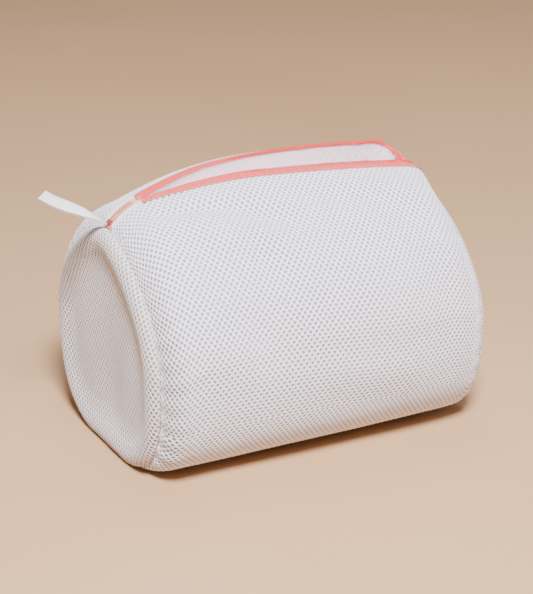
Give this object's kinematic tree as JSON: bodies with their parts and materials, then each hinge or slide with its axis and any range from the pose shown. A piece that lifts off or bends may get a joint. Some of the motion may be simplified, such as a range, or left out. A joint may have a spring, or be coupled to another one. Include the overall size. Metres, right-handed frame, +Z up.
{
  "type": "mesh laundry bag",
  "caption": "Barrel-shaped sandwich-mesh laundry bag with an open coil zipper along its crown, sliding zipper pull and a folded care label.",
  "frame": {"origin": "on the floor under the middle of the bag's length", "axes": "+X along the bag from the closed end of the zipper to the slider's open end, -Y towards the bag's front, +Z up"},
  "size_m": [0.254, 0.1825, 0.1685],
  "materials": {
    "white_mesh": "white polyester sandwich mesh, matte",
    "white_binding": "white polyester binding tape",
    "white_thread": "white polyester thread",
    "coral_tape": "coral woven zipper tape",
    "coral_coil": "coral polyester coil, satin",
    "coral_cord": "coral filler cord",
    "coral_thread": "coral sewing thread",
    "dark_red_thread": "dark red bar tack thread",
    "coral_enamel": "coral lacquered zinc slider",
    "label_ribbon": "white satin ribbon"
  },
  "bodies": {
    "bag": {"body_panel": "white_mesh", "left_end_panel": "white_mesh", "right_end_panel": "white_mesh", "left_seam_binding": "white_binding", "right_seam_binding": "white_binding", "left_seam_thread": "white_thread", "right_seam_thread": "white_thread", "closed_end_coils": "coral_coil", "closed_end_tapes": "coral_tape", "corner_coils": "coral_coil", "corner_tapes": "coral_tape", "apex_tack": "dark_red_thread", "left_end_tack": "dark_red_thread", "right_end_tack": "dark_red_thread"},
    "front_lip": {"front_coil": "coral_coil", "front_coil_cord": "coral_cord", "front_zip_tape": "coral_tape", "front_topstitch": "coral_thread"},
    "back_lip": {"back_coil": "coral_coil", "back_coil_cord": "coral_cord", "back_zip_tape": "coral_tape", "back_topstitch": "coral_thread"},
    "slider": {"slider_body": "coral_enamel", "slider_bail": "coral_enamel"},
    "pull": {"pull_tab": "coral_enamel"},
    "label": {"care_label": "label_ribbon"}
  },
  "joints": [
    {"name": "slider_travel", "type": "hinge", "parent": "bag", "child": "slider", "pos_m": [-0.0098, 0, -0.0652], "axis": [0, -1, 0], "range_deg": [0, 44.5]},
    {"name": "front_lip_close", "type": "hinge", "parent": "bag", "child": "front_lip", "pos_m": [-0.085, 0, 0.15216], "axis": [-0.9611, 0, 0.2762], "range_deg": [0, 20]},
    {"name": "back_lip_close", "type": "hinge", "parent": "bag", "child": "back_lip", "pos_m": [-0.085, 0, 0.15216], "axis": [0.9611, 0, -0.2762], "range_deg": [0, 20]},
    {"name": "pull_flip", "type": "hinge", "parent": "slider", "child": "pull", "pos_m": [0.0995, 0, 0.14069], "axis": [0, -1, 0], "range_deg": [0, 145]},
    {"name": "label_fold", "type": "hinge", "parent": "bag", "child": "label", "pos_m": [-0.1036, 0, 0.1416], "axis": [0, 1, 0], "range_deg": [-65, 60]}
  ],
  "couplings": [
    {"joint": "front_lip_close", "follows": "slider_travel", "ratio": 0.44944},
    {"joint": "back_lip_close", "follows": "slider_travel", "ratio": 0.44944}
  ]
}
